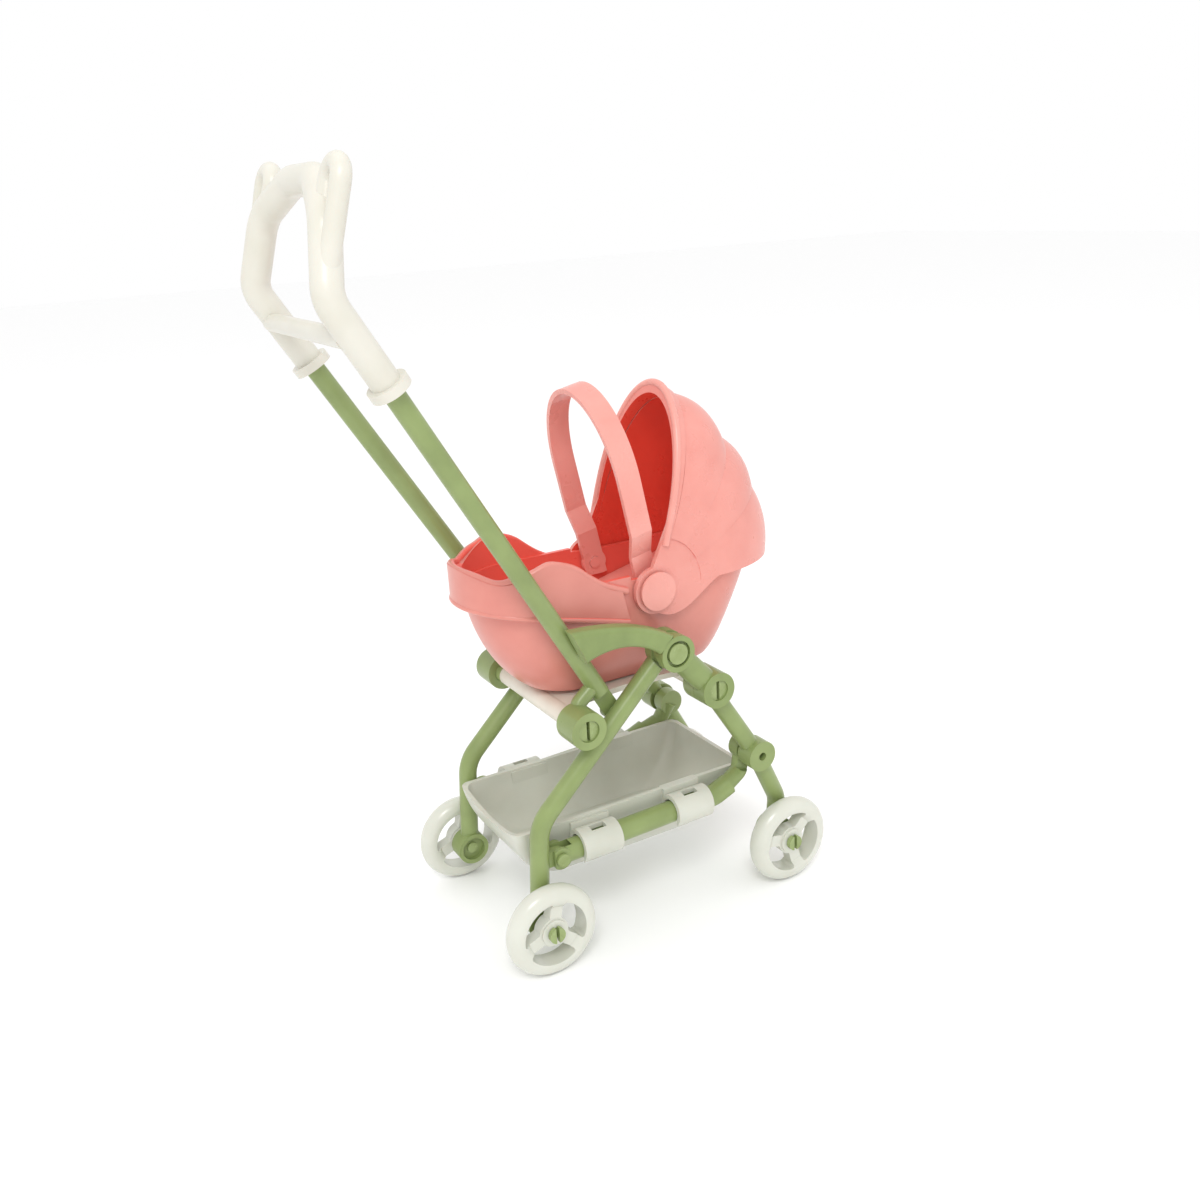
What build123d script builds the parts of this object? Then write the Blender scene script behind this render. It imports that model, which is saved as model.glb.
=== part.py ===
"""A one-sixth doll stroller: folding push frame, lift-off carrier with hood, and basket.

The frame stands on Z = 0 with +X forwards, towards the front wheels, and +Y to the left.
Places in the side view are (forward, up) pairs, measured from the rear axle and the floor.
"""

import os

from build123d import *
from math import cos, hypot, radians, sin

os.makedirs("parts", exist_ok=True)

# Overall sizes
rear_axle_x = -24.683
wheelbase = 77.6
wheel_radius = 12.7
wheel_plane = 28.4
leg_plane = 22.2

# Clearances
running = 0.06
loose = 0.3

# Tubes and bosses
leg_radius = 2.55
rail_radius = 3.0
rail_plane = 22.0
rod_radius = 2.45
boss_radius = 5.0
boss_outer = 28.2
pin_radius = 2.85

# Pivots of the folding linkage, as (forward, up)
hip = (42.3, 78.6)
knee = (54.8, 65.0)
ankle = (69.1, 41.2)
rail_pivot = (6.5, 29.2)
seat_pivot = (14.9, 64.5)
rod_pivot = (27.05, 63.6)

# Push rods and handle
rod_foot_plane = 19.4
rod_top = (-26.3, 154.6)
rod_top_plane = 26.6
socket_depth = 12.0
grip_radius = 3.45
grip_bend = (-37.9, 174.2)
grip_bend_plane = 27.5
handle_top = 202.4
loop_radius = 2.2
cross_bar_height = 166.3

# Carrier
hub = (42.5, 93.3)
carrier_wall = 1.4
tub_half_width = 16.6
tub_base_height = 68.9
band_half_width = 18.1
hood_half_width = 18.9
hood_wall = 1.5
strap_width = 6.2
strap_thickness = 1.3
strap_height = 53.5

# Basket
basket_rear = -3.0
basket_front = 70.0
basket_half_width = 18.0
basket_rim_height = 35.4
basket_floor_height = 17.5
basket_wall = 1.2
clip_width = 11.5
clip_wall = 1.3


def at(place, y):
    """The 3-D point of a (forward, up) pair at a distance y to the left."""
    return (rear_axle_x + place[0], y, place[1])


def between(a, b, share):
    """The (forward, up) pair that lies a share of the way from a to b."""
    return (a[0] + (b[0] - a[0]) * share, a[1] + (b[1] - a[1]) * share)


def barrel(place, radius, y_from, y_to, mode=Mode.ADD):
    """A round boss, pin or bore that lies across the stroller."""
    with Locations(at(place, (y_from + y_to) / 2)):
        Cylinder(radius, y_to - y_from, rotation=(90, 0, 0), mode=mode)


def tube(points, bends, radius, mode=Mode.ADD):
    """A round bar along straight runs joined by arcs."""
    with BuildLine() as run:
        if bends:
            FilletPolyline(*points, radius=bends)
        else:
            Polyline(*points)
    with BuildSketch(Plane(origin=run.line @ 0, z_dir=run.line % 0)) as section:
        Circle(radius)
    sweep(sections=section.sketch, path=run.line, mode=mode)


def plate(outline, y_from, y_to, mode=Mode.ADD):
    """A flat piece with a side-view outline of (forward, up) pairs."""
    with BuildSketch(Plane.XZ.offset(-y_from)) as side:
        with BuildLine():
            Polyline(*[(rear_axle_x + x, z) for x, z in outline], close=True)
        make_face()
    extrude(to_extrude=side.sketch, amount=-(y_to - y_from), mode=mode)


def save(part, name):
    part.label = name
    export_step(part, f"parts/{name}.step")


def save_pair(part, name):
    """Writes the left piece as it stands and its mirror image for the right side."""
    save(part, f"{name}_left")
    with BuildPart() as other:
        mirror(part, about=Plane.XZ)
    save(other.part, f"{name}_right")


# Rear leg: one moulding from the axle boss to the hip eye
leg_knuckle = (1.85, 39.4)
eye_inner = 19.8
eye_outer = 23.0
armrest_eye_outer = 25.0
rear_axle = (0.0, wheel_radius)
axle_pin_radius = 1.6
axle_boss_radius = 4.6
leg_outer = leg_plane + leg_radius
lug_half = 1.2
stub_radius = 1.4
rod_eye_outer = 19.4
rod_eye_inner = 16.6

with BuildPart() as rear_leg:
    tube([at(rear_axle, leg_plane), at(leg_knuckle, leg_plane), at(hip, leg_plane)], 11.0, leg_radius)
    barrel(rear_axle, axle_boss_radius, leg_plane - 3.0, leg_outer)
    barrel(rear_axle, axle_boss_radius - 1.2, leg_plane - 3.0, leg_plane - 1.6, mode=Mode.SUBTRACT)
    barrel(hip, boss_radius, eye_inner, leg_outer)
    barrel(hip, boss_radius + 0.4, eye_outer, leg_outer + 1, mode=Mode.SUBTRACT)
    plate(
        [
            (1.0, rail_pivot[1] - 2.2),
            (rail_pivot[0], rail_pivot[1] - 2.2),
            (rail_pivot[0], rail_pivot[1] + 2.2),
            (1.0, rail_pivot[1] + 2.2),
        ],
        leg_plane - lug_half,
        leg_plane + lug_half,
    )
    barrel(rail_pivot, 2.2, leg_plane - lug_half, leg_plane + lug_half)
    barrel(rod_pivot, stub_radius, rod_eye_inner - 0.6, leg_plane)
    barrel(rail_pivot, 1.1, leg_plane - 2, leg_plane + 2, mode=Mode.SUBTRACT)
    barrel(rear_axle, axle_pin_radius, leg_plane - 4, leg_outer + 1, mode=Mode.SUBTRACT)
    barrel(hip, 1.5, eye_inner - 1, eye_outer + 1, mode=Mode.SUBTRACT)
save_pair(rear_leg.part, "rear_leg")

# Hip pin: a headed rivet through the leg, the armrest and the front link
hip_head_radius = 2.8
link_hub_inner = 25.25
with BuildPart() as hip_pin:
    barrel(hip, 1.5, eye_inner, boss_outer - 1.0)
    barrel(hip, hip_head_radius, boss_outer - 1.0, boss_outer)
save_pair(hip_pin.part, "hip_pin")

# Armrest: a curved channel, open towards the push rod
armrest_inner = 24.75
armrest_outer = 28.7
armrest_skin = 1.1


def armrest_side(grow):
    """Side-view face of the armrest, shrunk by grow on its curved edges."""
    with BuildSketch(Plane.XZ) as side:
        with BuildLine():
            top = Spline(
                (rear_axle_x + 11.6 + grow, 91.4 - grow),
                (rear_axle_x + 22.0, 90.6 - grow),
                (rear_axle_x + 33.0, 87.9 - grow),
                (rear_axle_x + 43.5, 82.4 - grow),
            )
            low = Spline(
                (rear_axle_x + 39.5, 77.0 + grow),
                (rear_axle_x + 31.0, 83.1 + grow),
                (rear_axle_x + 23.0, 84.2 + grow),
                (rear_axle_x + 15.6 + grow, 82.6 + grow),
            )
            Line(top @ 1, low @ 0)
            Line(low @ 1, top @ 0)
        make_face()
    return side.sketch


with BuildPart() as armrest:
    extrude(to_extrude=armrest_side(0).moved(Location((0, armrest_inner, 0))), amount=-(armrest_outer - armrest_inner))
    outer_rim = armrest.faces().sort_by(Axis.Y)[-1].edges().filter_by(GeomType.BSPLINE)
    fillet(outer_rim, 1.6)
    extrude(
        to_extrude=armrest_side(armrest_skin).moved(Location((0, armrest_inner, 0))),
        amount=-(armrest_outer - armrest_inner - armrest_skin - 0.4),
        mode=Mode.SUBTRACT,
    )
    barrel(hip, boss_radius + 0.4, link_hub_inner - 0.15, armrest_outer + 1, mode=Mode.SUBTRACT)
    barrel(hip, boss_radius - 0.4, eye_outer + 0.15, armrest_eye_outer)
    barrel(hip, 1.5 + running, eye_outer, armrest_eye_outer + 1, mode=Mode.SUBTRACT)
save_pair(armrest.part, "armrest")

# Front link: the short thick tube from the hip to the knee
link_radius = 3.4
link_plane = boss_outer - link_radius - 0.25
knee_split = 23.2
with BuildPart() as front_link:
    tube([at(hip, link_plane), at(knee, link_plane)], None, link_radius)
    barrel(hip, boss_radius + 0.5, eye_inner, link_hub_inner, mode=Mode.SUBTRACT)
    barrel(hip, boss_radius, link_hub_inner, boss_outer)
    barrel(knee, boss_radius, knee_split + 0.15, boss_outer)
    barrel(knee, boss_radius + 0.4, eye_inner - 3, knee_split + 0.15, mode=Mode.SUBTRACT)
    barrel(hip, 1.5 + running, link_hub_inner - 1, boss_outer + 1, mode=Mode.SUBTRACT)
    barrel(hip, hip_head_radius + 0.8, boss_outer - 1.2, boss_outer + 1, mode=Mode.SUBTRACT)
    barrel(knee, pin_radius, knee_split, boss_outer + 1, mode=Mode.SUBTRACT)
save_pair(front_link.part, "front_link")

# Knee pin: a split snap pin, pressed in the link, that the front leg turns on
knee_eye_inner = 18.4
slot_width = 0.9


def split_pin(place, radius, y_from, y_to):
    """A snap pin with its outer end slit down the middle."""
    barrel(place, radius, y_from, y_to)
    with Locations(at(place, y_to)):
        Box(slot_width, 5.0, 2 * radius + 1, mode=Mode.SUBTRACT)


with BuildPart() as knee_pin:
    split_pin(knee, pin_radius, knee_eye_inner, boss_outer - 0.6)
save_pair(knee_pin.part, "knee_pin")

# Front leg: knee eye, bar, ankle boss and wheel leg in one moulding
front_axle = (wheelbase, wheel_radius)
knee_bar_plane = 21.9
ankle_plane = 24.7
with BuildPart() as front_leg:
    tube(
        [
            at(knee, knee_bar_plane),
            at(ankle, ankle_plane),
            at((78.2, 23.5), leg_plane + 0.5),
            at(front_axle, leg_plane),
        ],
        [8.0, 8.0],
        leg_radius,
    )
    barrel(knee, boss_radius, knee_eye_inner, knee_split)
    barrel(knee, boss_radius + 0.4, knee_split, leg_outer + 1, mode=Mode.SUBTRACT)
    barrel(knee, pin_radius + running, knee_eye_inner - 1, knee_split + 1, mode=Mode.SUBTRACT)
    barrel(ankle, boss_radius - 0.6, leg_plane + 0.4, boss_outer)
    barrel(ankle, 1.2, boss_outer - 2.4, boss_outer + 1, mode=Mode.SUBTRACT)
    barrel(front_axle, axle_boss_radius, leg_plane - 3.0, leg_outer)
    barrel(front_axle, axle_boss_radius - 1.2, leg_plane - 3.0, leg_plane - 1.6, mode=Mode.SUBTRACT)
    barrel(front_axle, axle_pin_radius, leg_plane - 4, leg_outer + 1, mode=Mode.SUBTRACT)
save_pair(front_leg.part, "front_leg")

# Side rail: forked at the rear leg's lug, straight under the clips, rising to the ankle
fork_gap = lug_half + 0.15
rail_eye_outer = 21.3
ankle_eye_plane = 18.7
riser_radius = 2.4
rail_bend = (56.5, 30.5)
with BuildPart() as side_rail:
    tube([at(rail_pivot, rail_plane), at(rail_bend, rail_plane), at((61.5, 32.5), rail_plane)], 8.0, rail_radius)
    tube(
        [at((59.5, 31.7), rail_plane), at((66.3, 34.7), 20.7), at(ankle, ankle_eye_plane)],
        3.0,
        riser_radius,
    )
    barrel(rail_pivot, rail_radius, rail_plane - rail_radius + 0.3, rail_plane + rail_radius - 0.3)
    barrel(rail_pivot, rail_radius + 1.5, leg_plane - fork_gap, leg_plane + fork_gap, mode=Mode.SUBTRACT)
    plate(
        [(-3, 20), (rail_pivot[0] - 1.9, 20), (rail_pivot[0] - 1.9, 40), (-3, 40)],
        10,
        30,
        mode=Mode.SUBTRACT,
    )
    barrel(ankle, boss_radius - 1.2, ankle_eye_plane - 1.3, rail_eye_outer)
    barrel(ankle, boss_radius + 1.5, rail_eye_outer, 30, mode=Mode.SUBTRACT)
    barrel(rail_pivot, 1.1 + running, 15, 26, mode=Mode.SUBTRACT)
save_pair(side_rail.part, "side_rail")

# Rail pin: the small round-headed rivet at the rear leg's lug
with BuildPart() as rail_pin:
    barrel(rail_pivot, 1.1, rail_plane - 2.6, rail_plane + 3.0)
    barrel(rail_pivot, 1.8, rail_plane + 3.0, rail_plane + 3.8)
save_pair(rail_pin.part, "rail_pin")

# Push rod: tube, cranked arm and seat boss in one moulding, with a flat eye at the rear leg
rod_run = hypot(rod_top[0] - rod_pivot[0], rod_top[1] - rod_pivot[1])


def rod_place(run):
    """(forward, up) and plane of the rod's middle, run millimetres from its pivot."""
    share = run / rod_run
    return between(rod_pivot, rod_top, share), rod_foot_plane + (rod_top_plane - rod_foot_plane) * share


def rod_point(run):
    return at(*rod_place(run))


arm_top, arm_plane = rod_place(11.0)
rod_flat = 8.0
seat_boss_inner = 20.0
with BuildPart() as push_rod:
    tube([rod_point(0), rod_point(rod_run + socket_depth)], None, rod_radius)
    barrel(rod_pivot, rod_radius, rod_eye_inner, rod_eye_outer)
    barrel(rod_pivot, rod_flat, rod_eye_outer, 30, mode=Mode.SUBTRACT)
    barrel(rod_pivot, 4.2, 10, rod_eye_inner, mode=Mode.SUBTRACT)
    tube(
        [
            at(seat_pivot, seat_boss_inner + 2.0),
            at((seat_pivot[0] + 1.3, arm_top[1] - 4.2), arm_plane + 0.2),
            at(arm_top, arm_plane),
        ],
        3.4,
        2.0,
    )
    barrel(seat_pivot, boss_radius, seat_boss_inner, boss_outer)
    barrel(seat_pivot, pin_radius + running, 15, boss_outer + 1, mode=Mode.SUBTRACT)
    barrel(rod_pivot, stub_radius + running, 10, 25, mode=Mode.SUBTRACT)
save_pair(push_rod.part, "push_rod")

# Handle: one moulding of two grips, the arch between them, hand loops and a cross bar
grip_foot = rod_run
collar_length = 2.2
collar_radius = 4.8


def mirror_y(points):
    return [(x, -y, z) for x, y, z in reversed(points)]


half_grip = [
    rod_point(grip_foot),
    at(grip_bend, grip_bend_plane),
    at((-34.7, 190.2), 22.4),
    at((-31.0, handle_top - 5.0), 9.0),
]
loop_run = [
    at((-37.2, 178.5), 26.9),
    at((-31.3, handle_top - loop_radius), 27.6),
    at((-31.4, handle_top - loop_radius - 0.4), 19.6),
    at((-34.4, 189.5), 21.4),
]
with BuildPart() as handle:
    tube(half_grip + mirror_y(half_grip), [7.0, 10.0, 9.0, 9.0, 10.0, 7.0], grip_radius)
    for points in (loop_run, mirror_y(loop_run)):
        tube(points, 3.6, loop_radius)
    barrel((-35.0, cross_bar_height), 2.2, -27.0, 27.0)
    for side in (1, -1):
        ends = [rod_point(grip_foot), rod_point(grip_foot + collar_length)]
        tube([(x, side * y, z) for x, y, z in ends], None, collar_radius)
        ends = [rod_point(grip_foot - 1), rod_point(grip_foot + socket_depth)]
        tube([(x, side * y, z) for x, y, z in ends], None, rod_radius, mode=Mode.SUBTRACT)
save(handle.part, "push_handle")

# Seat tray: a thin arched panel between two rolls; its rear roll carries the split pins
roll_radius = 2.75
roll_half = 17.6
panel_half = 16.2
spigot_radius = 1.5
spigot_depth = 6.0
panel_top = 68.5
panel_thickness = 1.5
with BuildPart() as seat_tray:
    for place in (seat_pivot, knee):
        barrel(place, roll_radius, -roll_half, roll_half)
    with BuildSketch(Plane.XZ.offset(panel_half)) as side:
        with BuildLine():
            rear = (rear_axle_x + seat_pivot[0] - 0.5, seat_pivot[1] + roll_radius - 0.2)
            front = (rear_axle_x + knee[0] + 0.5, knee[1] + roll_radius - 0.2)
            middle = (rear_axle_x + (seat_pivot[0] + knee[0]) / 2, panel_top)
            top = ThreePointArc(rear, middle, front)
            low = ThreePointArc(
                (front[0], front[1] - panel_thickness),
                (middle[0], middle[1] - panel_thickness),
                (rear[0], rear[1] - panel_thickness),
            )
            Line(top @ 1, low @ 0)
            Line(low @ 1, top @ 0)
        make_face()
    extrude(to_extrude=side.sketch, amount=-2 * panel_half)
    for y_from in (roll_half - spigot_depth, -roll_half):
        barrel(seat_pivot, spigot_radius, y_from, y_from + spigot_depth, mode=Mode.SUBTRACT)
save(seat_tray.part, "seat_tray")

# Seat pin: a split snap pin through the rod's boss, with a spigot pressed in the tray's rear roll
with BuildPart() as seat_pin:
    split_pin(seat_pivot, pin_radius, roll_half, boss_outer - 0.6)
    barrel(seat_pivot, spigot_radius, roll_half - spigot_depth, roll_half)
save_pair(seat_pin.part, "seat_pin")

# Wheels: tyre-shaped rim, thin web with three windows, hub with a bore
tyre_radius = 3.0
web_half = 1.7
wheel_hub_radius = 3.6
window_inner = 4.1
window_outer = 8.9
spoke_width = 3.4
with BuildPart() as wheel_blank:
    with BuildSketch(Plane.XZ) as section:
        with Locations((wheel_radius - tyre_radius, 0)):
            Circle(tyre_radius)
        with Locations(((wheel_radius - tyre_radius) / 2, 0)):
            Rectangle(wheel_radius - tyre_radius, 2 * web_half)
        with Locations((wheel_hub_radius / 2, 0)):
            Rectangle(wheel_hub_radius, 4.6)
        with Locations((-5, 0)):
            Rectangle(10, 20, mode=Mode.SUBTRACT)
    revolve(axis=Axis.Z)
    with BuildSketch() as windows:
        Circle(window_outer)
        Circle(window_inner, mode=Mode.SUBTRACT)
        with PolarLocations(0, 3):
            with Locations((window_outer / 2, 0)):
                Rectangle(window_outer + 2, spoke_width, mode=Mode.SUBTRACT)
        fillet(windows.vertices(), 0.7)
    extrude(amount=3, both=True, mode=Mode.SUBTRACT)
    Cylinder(axle_pin_radius + running, 12, mode=Mode.SUBTRACT)
with BuildPart() as axle_blank:
    Cylinder(axle_pin_radius, 10.9, align=(Align.CENTER, Align.CENTER, Align.MAX))
    Cylinder(2.2, 1.3, align=(Align.CENTER, Align.CENTER, Align.MIN))
    with Locations((0, 0, 1.3)):
        Box(slot_width, 6.0, 3.4, mode=Mode.SUBTRACT)

axle_shoulder = wheel_plane + 2.4 + 0.15
for end, place, turn in (("rear", rear_axle, 40), ("front", front_axle, 75)):
    with BuildPart() as wheel:
        middle = Plane(origin=at(place, wheel_plane), x_dir=(1, 0, 0), z_dir=(0, 1, 0))
        add(wheel_blank.part.rotate(Axis.Z, turn).moved(middle.location))
    save_pair(wheel.part, f"{end}_wheel")
    with BuildPart() as axle_pin:
        shoulder = Plane(origin=at(place, axle_shoulder), x_dir=(1, 0, 0), z_dir=(0, 1, 0))
        add(axle_blank.part.moved(shoulder.location))
    save_pair(axle_pin.part, f"{end}_axle_pin")

# Basket: a tapered tray with snap clips over the rails
clip_centres = (18.5, 47.8)
clip_radius = rail_radius + loose
rim_sag = 3.2
basket_profile = ((basket_rim_height, 0.0), (25.0, 0.33), (basket_floor_height, 1.0))
sag_radius = 44.0


def basket_section(inset, height, floor_share):
    """Rounded outline of the basket at a height; floor_share is 0 at the rim and 1 at the floor."""
    rear = basket_rear + 11.0 * floor_share + inset
    front = basket_front - 12.0 * floor_share - inset
    half = basket_half_width - 6.0 * floor_share - inset
    with BuildSketch(Plane.XY.offset(height)) as outline:
        with Locations((rear_axle_x + (rear + front) / 2, 0)):
            RectangleRounded(front - rear, 2 * half, 2.5 + 2.0 * floor_share)
    return outline.sketch


with BuildPart() as basket:
    loft(sections=[basket_section(0, height, share) for height, share in basket_profile])
    loft(
        sections=[
            basket_section(basket_wall, height + basket_wall * share, 0.95 * share)
            for height, share in basket_profile
        ],
        mode=Mode.SUBTRACT,
    )
    with Locations((rear_axle_x, 0, basket_rim_height - rim_sag + sag_radius)):
        Cylinder(sag_radius, 12.0, rotation=(0, 90, 0), mode=Mode.SUBTRACT)
    for centre in clip_centres:
        rail_height = between(rail_pivot, rail_bend, (centre - rail_pivot[0]) / (rail_bend[0] - rail_pivot[0]))[1]
        for side_sign in (1, -1):
            with BuildSketch(Plane.YZ.offset(rear_axle_x + centre - clip_width / 2)) as hook:
                with Locations((side_sign * rail_plane, rail_height)):
                    Circle(clip_radius + clip_wall)
                    Circle(clip_radius, mode=Mode.SUBTRACT)
                    with Locations((-side_sign * 1.1, -2.8)):
                        Rectangle(8.0, 4.8, mode=Mode.SUBTRACT)
                with Locations((side_sign * (basket_half_width - 0.4), rail_height + 3.4)):
                    Rectangle(2.6, 3.6)
                with Locations((side_sign * rail_plane, rail_height)):
                    Circle(clip_radius, mode=Mode.SUBTRACT)
            extrude(to_extrude=hook.sketch, amount=clip_width)
            with Locations(at((centre, rail_height + clip_radius), side_sign * (rail_plane + 0.6))):
                Box(4.4, 2.2, 5, mode=Mode.SUBTRACT)
save(basket.part, "basket")

# Carrier tub: bowl with a wavy outer band at its foot end
def oval(rear, front, half, height):
    with BuildSketch(Plane.XY.offset(height)) as outline:
        with Locations((rear_axle_x + (rear + front) / 2, 0)):
            RectangleRounded(front - rear, 2 * half, half - 0.4)
    return outline.sketch


def bowl(inset, base, rim):
    """Sections of the tub from its base to its rim, drawn in by inset."""
    lower = oval(11.5 + inset, 68.0 - inset, 12.4 - inset, base)
    belly = oval(6.2 + inset, 71.6 - inset, 14.2 - inset, 74.0)
    middle = oval(1.6 + inset, 75.4 - inset, 15.6 - inset, 81.5)
    upper = oval(-1.6 + inset, 79.6 - inset, tub_half_width - inset, 91.0)
    top = oval(-2.6 + inset, 81.2 - inset, tub_half_width - inset, rim)
    return [lower, belly, middle, upper, top]


band_outline_top = [(-9.0, 106.2), (-4.5, 104.2), (0.5, 102.3), (6.0, 104.0), (13.0, 106.2), (19.5, 103.6), (26.5, 97.8), (32.5, 95.2)]
band_outline_low = [(34.5, 86.4), (22.0, 89.6), (8.0, 93.0), (-9.0, 95.6)]

with BuildPart() as tub:
    loft(sections=bowl(0, tub_base_height, 98.0))
    loft(sections=bowl(carrier_wall, tub_base_height + carrier_wall, 98.0), mode=Mode.SUBTRACT)
    with BuildSketch(Plane.XZ.offset(-40)) as trim:
        with BuildLine():
            edge = Spline(*[(rear_axle_x + x, z) for x, z in [(36.0, 97.0), (50.0, 96.4), (82.0, 98.5)]])
            Polyline(edge @ 1, (rear_axle_x + 100, 110), (rear_axle_x + 36, 110), edge @ 0)
        make_face()
    extrude(to_extrude=trim.sketch, amount=80, mode=Mode.SUBTRACT)
    with BuildPart(mode=Mode.PRIVATE) as band:
        extrude(to_extrude=oval(-5.8, 75.0, band_half_width, 80.0), amount=32)
        extrude(to_extrude=oval(-2.0, 75.0, band_half_width - 2.0, 80.0), amount=32, mode=Mode.SUBTRACT)
        with BuildSketch(Plane.XZ.offset(-40)) as wave:
            with BuildLine():
                top = Spline(*[(rear_axle_x + x, z) for x, z in band_outline_top])
                low = Spline(*[(rear_axle_x + x, z) for x, z in band_outline_low])
                Line(top @ 1, low @ 0)
                Line(low @ 1, top @ 0)
            make_face()
        extrude(to_extrude=wave.sketch, amount=80, mode=Mode.INTERSECT)
    add(band.part)
    barrel(hub, 1.6, -30, 30, mode=Mode.SUBTRACT)
save(tub.part, "carrier_tub")

# Mat: a thin liner that follows the bowl, rising towards the head end
mat_gap = 0.35
mat_thickness = 2.0
mat_foot = 82.0
mat_head = 95.5
with BuildPart() as mat:
    loft(sections=bowl(carrier_wall + mat_gap, tub_base_height + carrier_wall + mat_gap, 98.0))
    with BuildSketch(Plane.XZ.offset(-20)) as lie:
        with BuildLine():
            Polyline(
                (rear_axle_x - 4, mat_foot),
                (rear_axle_x + 18, mat_foot),
                (rear_axle_x + 80, mat_head),
                (rear_axle_x + 80, mat_head - mat_thickness),
                (rear_axle_x + 18, mat_foot - mat_thickness),
                (rear_axle_x - 4, mat_foot - mat_thickness),
                close=True,
            )
        make_face()
    extrude(to_extrude=lie.sketch, amount=40, mode=Mode.INTERSECT)
    with BuildSketch(Plane.XY.offset(mat_foot - 0.8)) as dimple:
        with Locations((rear_axle_x + 11.0, 0)):
            Ellipse(6.0, 8.0)
    extrude(to_extrude=dimple.sketch, amount=4, mode=Mode.SUBTRACT)
save(mat.part, "carrier_mat")

# Hood: three scalloped panels, a front rim and two ears that turn on the hub pins
ear_radius = 20.0
hub_pin_radius = 1.6
ear_disc_radius = 6.3


def slice_plane(angle):
    """Plane through the hub axis; its x runs out from the axis and its y to the left."""
    out = (cos(radians(angle)), 0, sin(radians(angle)))
    return Plane(origin=at(hub, 0), x_dir=out, z_dir=(-out[2], 0, out[0]))


def hood_slice(angle, reach, half, start=ear_radius - 6.0):
    """Half-round slice of the hood: straight sides near the hub, an elliptical crown beyond."""
    with BuildSketch(slice_plane(angle)) as slice_face:
        with BuildLine():
            Polyline((ear_radius, -half), (start, -half), (start, half), (ear_radius, half))
            EllipticalCenterArc((ear_radius, 0), reach - ear_radius, half, -90, arc_size=180)
        make_face()
    return slice_face.sketch


lap = 0.15
hood_inner_half = hood_half_width - hood_wall - 2 * lap
inner_line = ((77.0, 50.0), (68.0, 48.8), (58.0, 48.2), (46.0, 45.2), (30.0, 44.6), (12.0, 45.0), (-2.0, 44.5))
panels = [
    (hood_half_width, ((70.5, 50.2), (58.0, 50.2), (47.5, 47.0))),
    (hood_half_width - lap, ((49.0, 46.2), (36.5, 47.7), (27.0, 46.3))),
    (hood_half_width - 2 * lap, ((28.5, 45.5), (13.0, 46.9), (0.0, 46.0))),
]
with BuildPart() as hood:
    for half, panel in panels:
        loft(sections=[hood_slice(angle, reach, half) for angle, reach in panel])
    loft(sections=[hood_slice(angle, reach, hood_half_width + lap) for angle, reach in ((71.0, 51.4), (75.4, 52.8))])
    hollow = [hood_slice(angle, reach, hood_inner_half, ear_radius - 8.0) for angle, reach in inner_line]
    loft(sections=hollow, mode=Mode.SUBTRACT)
    for side_sign in (1, -1):
        with BuildSketch(Plane.XZ.offset(-side_sign * (hood_inner_half + lap / 2))) as ear:
            with BuildLine():
                low = Spline(
                    (rear_axle_x + hub[0], hub[1] - 6.0),
                    (rear_axle_x + 49.5, 86.0),
                    (rear_axle_x + 56.5, 89.6),
                    (rear_axle_x + hub[0] + 21.0, hub[1] + 0.4),
                )
                Polyline(
                    low @ 1,
                    (rear_axle_x + hub[0] + 17.0, hub[1] + 12.0),
                    (rear_axle_x + hub[0] + 5.4, hub[1] + 19.0),
                    (rear_axle_x + hub[0] - 1.5, hub[1] + 5.0),
                    low @ 0,
                )
            make_face()
            with Locations((rear_axle_x + hub[0], hub[1])):
                Circle(ear_disc_radius)
        extrude(to_extrude=ear.sketch, amount=-side_sign * (hood_wall - lap))
    barrel(hub, hub_pin_radius + running, -30, 30, mode=Mode.SUBTRACT)
save(hood.part, "hood")

# Carry handle: a flat strap arch inside the tub walls at the hub
strap_tilt = 101.5
strap_foot_half = 14.75
strap_half = 17.6


def strap_outline(inset):
    """Arch in the strap's own plane: x to the left, y away from the hub."""
    foot = strap_foot_half - inset
    half = strap_half - inset
    with BuildSketch(Plane(origin=at(hub, 0), x_dir=(0, 1, 0), z_dir=strap_normal)) as arch:
        with BuildLine():
            EllipticalCenterArc((0, 30), half, strap_height - 30 - inset, 0, arc_size=180)
            Polyline((-half, 30), (-half, 16), (-foot, 9.5), (-foot, -4), (foot, -4), (foot, 9.5), (half, 16), (half, 30))
        make_face()
    return arch.sketch


strap_normal = (sin(radians(strap_tilt)), 0, -cos(radians(strap_tilt)))
with BuildPart() as carry_handle:
    extrude(to_extrude=strap_outline(0), amount=strap_width / 2, both=True)
    extrude(to_extrude=strap_outline(strap_thickness), amount=strap_width, both=True, mode=Mode.SUBTRACT)
    for side_sign in (1, -1):
        foot_middle = side_sign * (strap_foot_half - strap_thickness / 2)
        barrel(hub, 3.6, foot_middle - strap_thickness / 2, foot_middle + strap_thickness / 2)
    with Locations(at((hub[0], hub[1] - 5.6), 0)):
        Box(20, 60, 4, mode=Mode.SUBTRACT)
    barrel(hub, hub_pin_radius + running, -30, 30, mode=Mode.SUBTRACT)
save(carry_handle.part, "carry_handle")

# Hub pin: a headed pin pressed in the tub wall, carrying the hood and the carry handle
with BuildPart() as hub_pin:
    barrel(hub, hub_pin_radius, strap_foot_half - strap_thickness - 0.4, hood_half_width + 0.2)
    barrel(hub, 5.2, hood_half_width + 0.2, hood_half_width + 0.8)
save_pair(hub_pin.part, "hub_pin")
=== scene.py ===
import math

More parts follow.
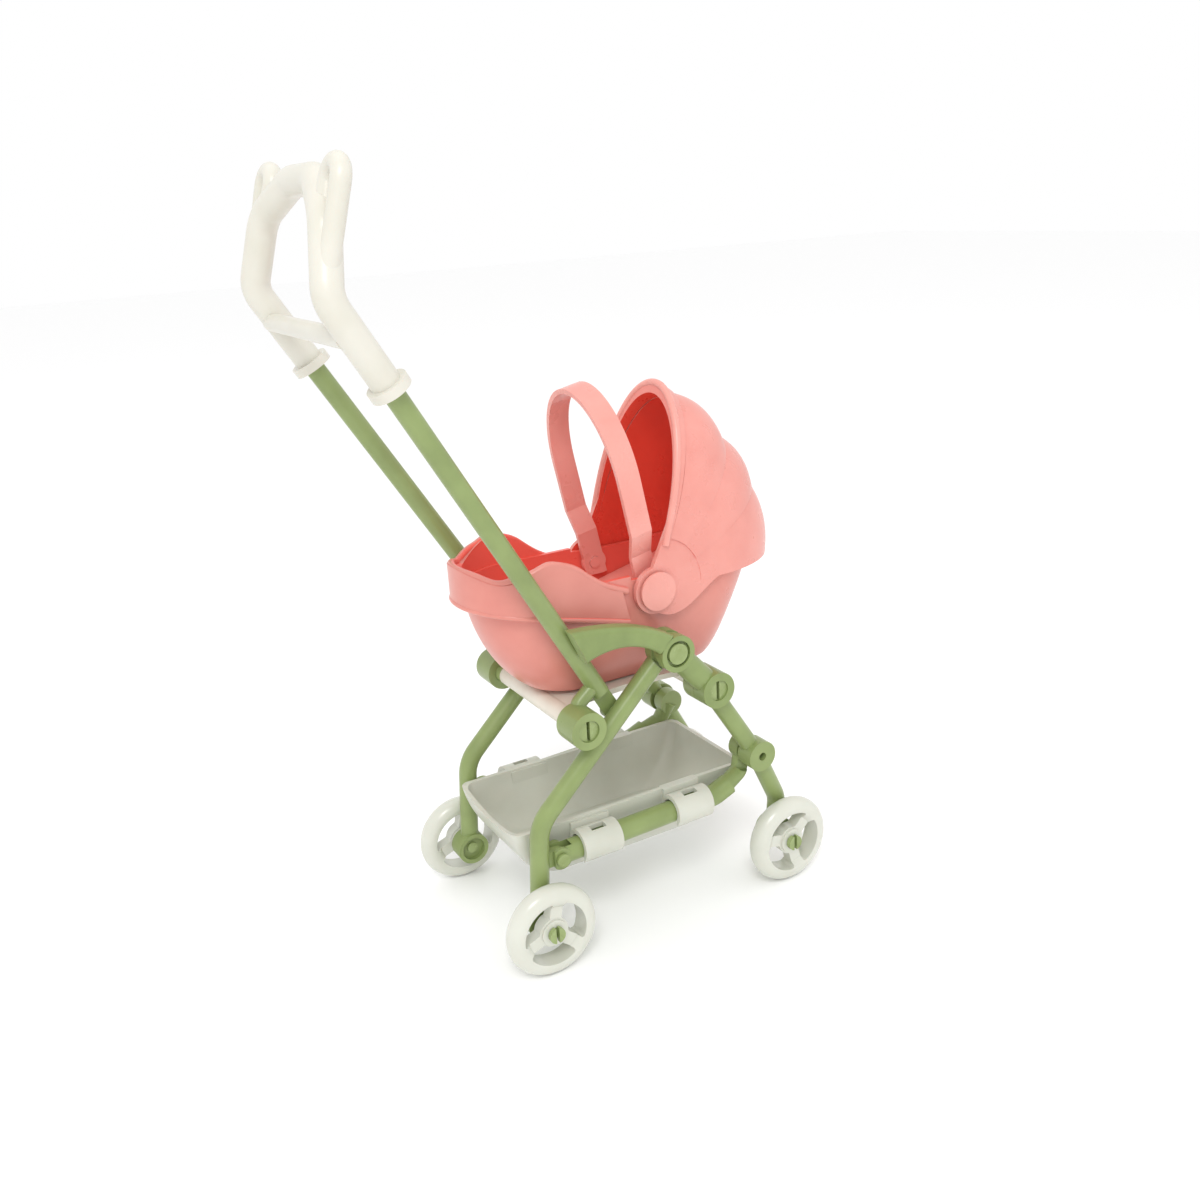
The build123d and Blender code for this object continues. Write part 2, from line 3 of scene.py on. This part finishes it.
import bpy
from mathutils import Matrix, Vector


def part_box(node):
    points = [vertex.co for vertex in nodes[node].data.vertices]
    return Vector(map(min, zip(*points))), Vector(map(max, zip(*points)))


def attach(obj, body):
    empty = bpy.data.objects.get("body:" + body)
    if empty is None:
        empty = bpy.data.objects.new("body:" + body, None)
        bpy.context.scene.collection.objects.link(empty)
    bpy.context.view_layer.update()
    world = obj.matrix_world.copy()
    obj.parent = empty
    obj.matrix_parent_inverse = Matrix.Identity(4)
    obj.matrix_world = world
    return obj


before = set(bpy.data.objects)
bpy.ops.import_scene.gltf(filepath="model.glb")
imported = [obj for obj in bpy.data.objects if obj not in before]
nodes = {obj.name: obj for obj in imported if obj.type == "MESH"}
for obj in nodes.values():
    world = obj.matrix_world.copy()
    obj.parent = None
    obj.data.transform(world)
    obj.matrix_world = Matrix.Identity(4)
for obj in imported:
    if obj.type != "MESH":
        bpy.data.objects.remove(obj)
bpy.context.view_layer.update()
MM = 0.001

# Frame tubes: rear legs, front legs, side rails and push rods.
# Injection-moulded acetal in a soft leaf green; tough, slightly waxy, with the tool's fine grain.
# Each tube has its eyes and bosses in the same shot and snaps on its neighbour's pin.


def linear(hex_colour):
    """The linear RGBA of an sRGB hex colour."""
    parts = [int(hex_colour[i : i + 2], 16) / 255 for i in (1, 3, 5)]
    return [p / 12.92 if p <= 0.04045 else ((p + 0.055) / 1.055) ** 2.4 for p in parts] + [1.0]


def add_node(tree, kind, settings=None, links=None):
    """Adds a shader node, sets its properties or sockets, and links its inputs."""
    made = tree.nodes.new(kind)
    for name, value in (settings or {}).items():
        if isinstance(name, str) and name in made.inputs:
            made.inputs[name].default_value = value
        else:
            setattr(made, name, value)
    for name, source in (links or {}).items():
        tree.links.new(source, made.inputs[name])
    return made


def moulded_plastic(name, colour, deep, roughness, bloom_mm, grain_mm, depth_mm, ior, glow=0.0):
    """Moulded plastic: faint colour bloom where the melt flowed, uneven gloss and tool grain."""
    material = bpy.data.materials.new(name)
    material.use_nodes = True
    tree = material.node_tree
    shader = tree.nodes["Principled BSDF"]
    shader.inputs["IOR"].default_value = ior
    shader.inputs["Subsurface Weight"].default_value = glow
    shader.inputs["Subsurface Radius"].default_value = (1.0, 0.55, 0.4)
    shader.inputs["Subsurface Scale"].default_value = 1.2 * MM
    place = add_node(tree, "ShaderNodeTexCoord").outputs["Object"]

    bloom_scale = 1 / (bloom_mm * MM)
    bloom = add_node(
        tree, "ShaderNodeTexNoise", {"Scale": bloom_scale, "Detail": 3.0}, {"Vector": place}
    )
    tint = add_node(tree, "ShaderNodeValToRGB", links={"Fac": bloom.outputs["Fac"]})
    tint.color_ramp.elements[0].position = 0.3
    tint.color_ramp.elements[0].color = linear(deep)
    tint.color_ramp.elements[1].position = 0.62
    tint.color_ramp.elements[1].color = linear(colour)
    tree.links.new(tint.outputs["Color"], shader.inputs["Base Color"])

    wear_scale = 1 / (bloom_mm * MM * 0.6)
    wear = add_node(
        tree, "ShaderNodeTexNoise", {"Scale": wear_scale, "Detail": 5.0}, {"Vector": place}
    )
    sheen = add_node(
        tree,
        "ShaderNodeMapRange",
        {"To Min": roughness - 0.06, "To Max": roughness + 0.07},
        {"Value": wear.outputs["Fac"]},
    )
    tree.links.new(sheen.outputs["Result"], shader.inputs["Roughness"])

    grain_scale = 1 / (grain_mm * MM)
    grain = add_node(
        tree, "ShaderNodeTexNoise", {"Scale": grain_scale, "Detail": 2.0}, {"Vector": place}
    )
    bump = add_node(
        tree,
        "ShaderNodeBump",
        {"Strength": 0.35, "Distance": depth_mm * MM},
        {"Height": grain.outputs["Fac"]},
    )
    tree.links.new(bump.outputs["Normal"], shader.inputs["Normal"])
    return material


def finish(material, *names):
    """Gives the named pieces their finish."""
    for name in names:
        mesh = nodes[name].data
        mesh.materials.clear()
        mesh.materials.append(material)


def both(*names):
    """The left and right piece of each name."""
    return [f"{name}_{side}" for name in names for side in ("left", "right")]


acetal_ior = 1.48
green_acetal = moulded_plastic(
    "green acetal, moulded", "#8a9a60", "#808f58", 0.3, 9.0, 0.35, 0.02, acetal_ior, glow=0.05
)
finish(green_acetal, *both("rear_leg", "front_leg", "side_rail", "push_rod"))

# Front links and armrests: the same acetal from another shot, a shade deeper and duller.
# The link is a short thick tube with a boss at each end; the armrest is an arched channel.
deep_acetal = moulded_plastic(
    "green acetal, second shot", "#84955a", "#7a8a52", 0.32, 8.0, 0.35, 0.02, acetal_ior, glow=0.05
)
finish(deep_acetal, *both("front_link", "armrest"))

# Pins: split snap pins at the knees, seat and axles, headed pins at the hips and rails.
# Acetal from the frame's tool, polished where they turn.
pin_acetal = moulded_plastic(
    "green acetal, polished pins", "#93a36b", "#849359", 0.26, 4.0, 0.3, 0.012, acetal_ior
)
finish(pin_acetal, *both("hip_pin", "knee_pin", "seat_pin", "rail_pin"))
finish(pin_acetal, *both("rear_axle_pin", "front_axle_pin"))

# Push handle: grips, arch, hand loops and cross bar in one cream ABS moulding.
# ABS gives an even, satin surface with a soft edge highlight.
abs_ior = 1.53
cream_abs = moulded_plastic(
    "cream ABS, satin moulded", "#d6d3c8", "#d0cdc0", 0.32, 12.0, 0.4, 0.01, abs_ior, glow=0.06
)
finish(cream_abs, "push_handle")

# Seat tray: a thin panel between two rolls, in the handle's ABS with a duller finish; its warmer tint is
# painted shade from the carrier it sits under.
# Its rear roll holds the seat pins, which turn in the push rods; its front roll lies at the knees.
tray_abs = moulded_plastic(
    "cream ABS, seat tray", "#ddd7c9", "#d2cbbb", 0.42, 10.0, 0.4, 0.015, abs_ior, glow=0.05
)
finish(tray_abs, "seat_tray")

# Basket: pale grey polypropylene, moulded thin, with four snap clips over the side rails.
# Polypropylene scatters light inside, so its edges look soft and slightly milky.
grey_polypropylene = moulded_plastic(
    "grey polypropylene, moulded", "#cbccc0", "#c2c3b6", 0.36, 14.0, 0.4, 0.02, 1.49, glow=0.12
)
finish(grey_polypropylene, "basket")

# Wheels: white polystyrene with a rounded tyre, a thin web and three spokes.
# Polystyrene is bright and fairly glossy. Each wheel turns on its own axle pin.
white_polystyrene = moulded_plastic(
    "white polystyrene, glossy", "#d2d3c8", "#cdcec2", 0.24, 12.0, 0.5, 0.004, 1.59, glow=0.05
)
finish(white_polystyrene, *both("rear_wheel", "front_wheel"))

# Carry handle and hub pins: a flat coral PVC strap that swings on the pins at the tub's sides.
# Plasticised PVC takes a satin skin from the tool and glows a little where light enters it.
pvc_ior = 1.52
coral_pvc = moulded_plastic(
    "coral PVC, satin moulded", "#e59d92", "#df9489", 0.28, 11.0, 0.4, 0.015, pvc_ior, glow=0.1
)
finish(coral_pvc, "carry_handle", *both("hub_pin"))

# Hood: three lapped panels and a front rim, moulded in one piece of coral PVC with a satin skin.
# Light passes through the thin wall, so its inner face glows a deeper, redder coral.
# The rim is rolled over to a round bead, and the ears turn on the hub pins.


def paint_glow_inside(material, centre, colour):
    """Paints faces that look towards a centre point a redder colour: a painted glow of light passing
    through the thin wall.
    """
    tree = material.node_tree
    shader = tree.nodes["Principled BSDF"]
    outside = shader.inputs["Base Color"].links[0].from_socket
    place = add_node(tree, "ShaderNodeTexCoord")
    outward = add_node(
        tree, "ShaderNodeVectorMath", {"operation": "SUBTRACT"}, {0: place.outputs["Object"]}
    )
    outward.inputs[1].default_value = centre
    facing = add_node(
        tree,
        "ShaderNodeVectorMath",
        {"operation": "DOT_PRODUCT"},
        {0: outward.outputs["Vector"], 1: place.outputs["Normal"]},
    )
    inner = add_node(
        tree,
        "ShaderNodeMapRange",
        {"From Min": 1.0 * MM, "From Max": -3.0 * MM},
        {"Value": facing.outputs["Value"]},
    )
    wall = add_node(
        tree, "ShaderNodeMix", {"data_type": "RGBA"}, {0: inner.outputs["Result"], 6: outside}
    )
    wall.inputs[7].default_value = linear(colour)
    tree.links.new(wall.outputs[2], shader.inputs["Base Color"])


def bead(name, points, radius, material, body):
    """A round bead of the same shot along an edge, from a smooth curve through the points."""
    spine = bpy.data.curves.new(name, "CURVE")
    spine.dimensions = "3D"
    spine.bevel_depth = radius
    spine.bevel_resolution = 6
    spine.use_fill_caps = True
    run = spine.splines.new("NURBS")
    run.points.add(len(points) - 1)
    for knot, point in zip(run.points, points):
        knot.co = (*point, 1.0)
    run.order_u = 3
    run.use_endpoint_u = True
    run.resolution_u = 6
    drawn = bpy.data.objects.new(name, spine)
    bpy.context.scene.collection.objects.link(drawn)
    bpy.context.view_layer.update()
    swept = drawn.evaluated_get(bpy.context.evaluated_depsgraph_get())
    mesh = bpy.data.meshes.new_from_object(swept)
    bpy.data.objects.remove(drawn)
    mesh.shade_smooth()
    mesh.materials.clear()
    mesh.materials.append(material)
    piece = bpy.data.objects.new(name, mesh)
    bpy.context.scene.collection.objects.link(piece)
    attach(piece, body)


hub_low, hub_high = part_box("hub_pin_left")
hub = Vector(((hub_low[0] + hub_high[0]) / 2, 0, (hub_low[2] + hub_high[2]) / 2))
hood_pvc = moulded_plastic(
    "coral PVC, hood skin", "#e0958a", "#d98b80", 0.28, 11.0, 0.4, 0.015, pvc_ior, glow=0.1
)
paint_glow_inside(hood_pvc, hub, "#e4503f")
finish(hood_pvc, "hood")
rim_tilt = math.radians(74.9)
rim_out = Vector((math.cos(rim_tilt), 0, math.sin(rim_tilt)))
rim_half = 18.6 * MM
rim_straight = 20.0 * MM
rim_reach = 52.1 * MM
rim_foot_step = 4.0 * MM
arc_steps = 12
foot_steps = 2
rim_points = []
for step in range(-arc_steps - foot_steps, arc_steps + foot_steps + 1):
    if abs(step) <= arc_steps:
        swing = math.radians(90 * step / arc_steps)
        far = rim_straight + (rim_reach - rim_straight) * math.cos(swing)
        aside = rim_half * math.sin(swing)
    else:
        far = rim_straight - rim_foot_step * (abs(step) - arc_steps)
        aside = math.copysign(rim_half, step)
    rim_points.append(hub + rim_out * far + Vector((0, aside, 0)))
bead("hood_rim_bead", rim_points, 0.95 * MM, coral_pvc, "hood_cover")

# Tub: a deep bowl with a broad wavy band round its foot end, in the same coral PVC.
# The band's top edge is rolled and its lower edge flares to a lip, which a finger lifts it by.
tub_low, tub_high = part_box("carrier_tub")
tub_pvc = moulded_plastic(
    "coral PVC, tub", "#d6897d", "#cf8075", 0.3, 11.0, 0.4, 0.015, pvc_ior, glow=0.1
)
tub_middle = (tub_low[0] + 42 * MM, 0, tub_low[2] + 34 * MM)
# The tub's inner face is painted a redder coral: a painted glow of light passing through its thin wall.
paint_glow_inside(tub_pvc, tub_middle, "#e86557")
finish(tub_pvc, "carrier_tub")
band_half = 18.1 * MM
band_front = tub_low[0] + 40.0 * MM
straight_steps = 6
round_steps = 24
# Millimetres forward of the tub's foot end, and millimetres above the floor.
top_line = (
    (-3.2, 106.2), (1.3, 104.2), (6.3, 102.3), (11.8, 104.0),
    (18.8, 106.2), (25.3, 103.6), (32.3, 97.8), (40, 94.6),
)
low_line = ((-3.2, 95.6), (13.8, 93.0), (27.8, 89.6), (40.3, 86.4))


def line_height(line, x):
    """Height of the band's edge at x; the wavy top edge is eased between its points."""
    along = (x - tub_low[0]) / MM
    for (x0, z0), (x1, z1) in zip(line, line[1:]):
        if along <= x1:
            share = max(0.0, (along - x0) / (x1 - x0))
            share = share * share * (3 - 2 * share) if line is top_line else share
            return (z0 + (z1 - z0) * share) * MM
    return line[-1][1] * MM


def band_points(line, inset):
    """Points round the band's foot end, from the right side to the left, drawn in by inset."""
    half = band_half - inset
    centre = tub_low[0] + inset + half
    points = []
    for step in range(-straight_steps, 0):
        x = centre + (band_front - centre) * -step / straight_steps
        points.append(Vector((x, -half, line_height(line, x))))
    for step in range(round_steps + 1):
        swing = math.pi * step / round_steps
        x = centre - half * math.sin(swing)
        points.append(Vector((x, -half * math.cos(swing), line_height(line, x))))
    for step in range(1, straight_steps + 1):
        x = centre + (band_front - centre) * step / straight_steps
        points.append(Vector((x, half, line_height(line, x))))
    return points


bead("tub_band_top", band_points(top_line, 0.95 * MM), 1.0 * MM, tub_pvc, "carrier")
bead("tub_band_lip", band_points(low_line, 0.25 * MM), 0.7 * MM, tub_pvc, "carrier")

# Mat: a thin soft liner laid in the tub, rising towards the head, in a paler matt pink.
# Pressed from soft PVC with a dull grain, so it shows almost no highlight.
mat_pvc = moulded_plastic(
    "pink PVC, matt liner", "#ee9a8e", "#e38c80", 0.5, 6.0, 0.5, 0.03, 1.5, glow=0.1
)
finish(mat_pvc, "carrier_mat")

# Floor: one large, flat sheet painted matt white, wide enough that its edges stay out of the way.
# The room around it is an even white.
floor_mesh = bpy.data.meshes.new("floor")
floor_half = 3.0
corners = [(x * floor_half, y * floor_half, 0) for x, y in ((-1, -1), (1, -1), (1, 1), (-1, 1))]
floor_mesh.from_pydata(corners, [], [(0, 1, 2, 3)])
floor = bpy.data.objects.new("floor", floor_mesh)
bpy.context.scene.collection.objects.link(floor)
floor_paint = bpy.data.materials.new("white studio paint, matt")
floor_paint.use_nodes = True
floor_shader = floor_paint.node_tree.nodes["Principled BSDF"]
floor_shader.inputs["Base Color"].default_value = (0.98, 0.98, 0.98, 1.0)
floor_shader.inputs["Roughness"].default_value = 0.9
floor_mesh.materials.append(floor_paint)

world = bpy.data.worlds.new("studio")
bpy.context.scene.world = world
world.use_nodes = True
room = world.node_tree.nodes["Background"]
room.inputs["Color"].default_value = (1, 1, 1, 1)
room.inputs["Strength"].default_value = 1.0

# Lamps: three square soft lamps, a key high behind the camera, a weak fill to its right and one overhead.
# All of them point at the middle of the stroller.
stroller_middle = Vector((0, 0, 0.09))


def soft_lamp(name, place, size, watts):
    """A square soft lamp that points at the middle of the stroller."""
    light = bpy.data.lights.new(name, "AREA")
    light.shape = "SQUARE"
    light.size = size
    light.energy = watts
    lamp = bpy.data.objects.new(name, light)
    lamp.location = place
    beam = stroller_middle - Vector(place)
    lamp.rotation_euler = beam.to_track_quat("-Z", "Y").to_euler()
    bpy.context.scene.collection.objects.link(lamp)


soft_lamp("key lamp", (-0.35, -0.55, 0.75), 0.3, 3.0)
soft_lamp("fill lamp", (0.7, -0.35, 0.5), 0.6, 0.3)
soft_lamp("top lamp", (0.0, 0.2, 0.9), 0.6, 0.5)

# Camera: stands off the stroller's right side, behind its middle, and looks slightly down.
# Its place is measured from the rear axle, and a small roll tips the whole view.
axle_low, axle_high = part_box("rear_axle_pin_left")
rear_axle = (axle_low[0] + axle_high[0]) / 2
yaw = math.radians(29.477)
pitch = math.radians(19.248)
roll = math.radians(-3.185)
right = Vector((math.cos(yaw), -math.sin(yaw), 0))
level = Vector((math.sin(yaw), math.cos(yaw), 0))
ahead = level * math.cos(pitch) - Vector((0, 0, math.sin(pitch)))
up = right.cross(ahead)
camera_right = right * math.cos(roll) + up * math.sin(roll)
camera_up = up * math.cos(roll) - right * math.sin(roll)
lens = bpy.data.cameras.new("camera")
lens.sensor_width = 36
lens.lens = 35.12
lens.clip_start = 0.01
camera = bpy.data.objects.new("camera", lens)
basis = camera.matrix_world.to_3x3()
basis.col[0], basis.col[1], basis.col[2] = camera_right, camera_up, -ahead
camera.matrix_world = basis.to_4x4()
camera.location = (rear_axle - 111.87 * MM, -261.47 * MM, 191.94 * MM)
bpy.context.scene.collection.objects.link(camera)
bpy.context.scene.camera = camera

bpy.context.scene.view_settings.view_transform = "Standard"
